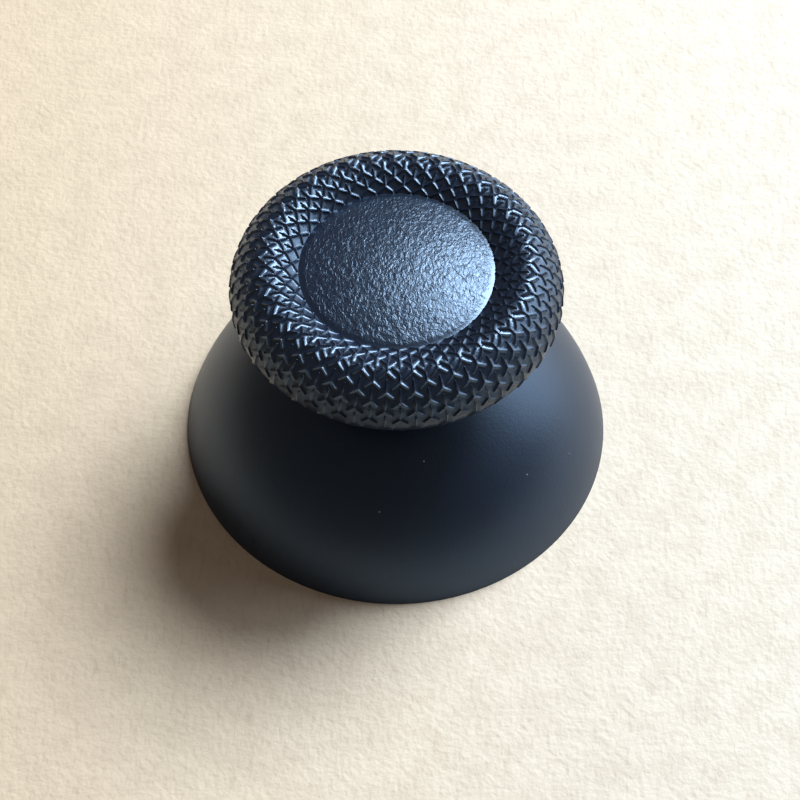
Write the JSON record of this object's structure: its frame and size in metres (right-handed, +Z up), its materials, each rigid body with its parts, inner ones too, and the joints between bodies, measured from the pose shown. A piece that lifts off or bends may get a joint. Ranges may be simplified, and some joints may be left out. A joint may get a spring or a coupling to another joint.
{
  "type": "thumbstick cap",
  "caption": "Thumbstick cap: hollow dome, neck and round top whose raised, grip-patterned ring surrounds a domed pad; a double-D socket inside takes the stick's lever.",
  "frame": {"origin": "centre of the dome's rim, on the plane that the cap stands on", "axes": "+Z up along the stick's axis towards the pad; the socket's flats face +X and -X"},
  "size_m": [0.0224, 0.0224, 0.0139],
  "materials": {
    "dark_plastic": "satin moulded plastic, fine grain on the pad and a three-armed grip pattern moulded into the ring"
  },
  "bodies": {
    "root": {"thumbstick_cap": "dark_plastic"}
  },
  "joints": []
}
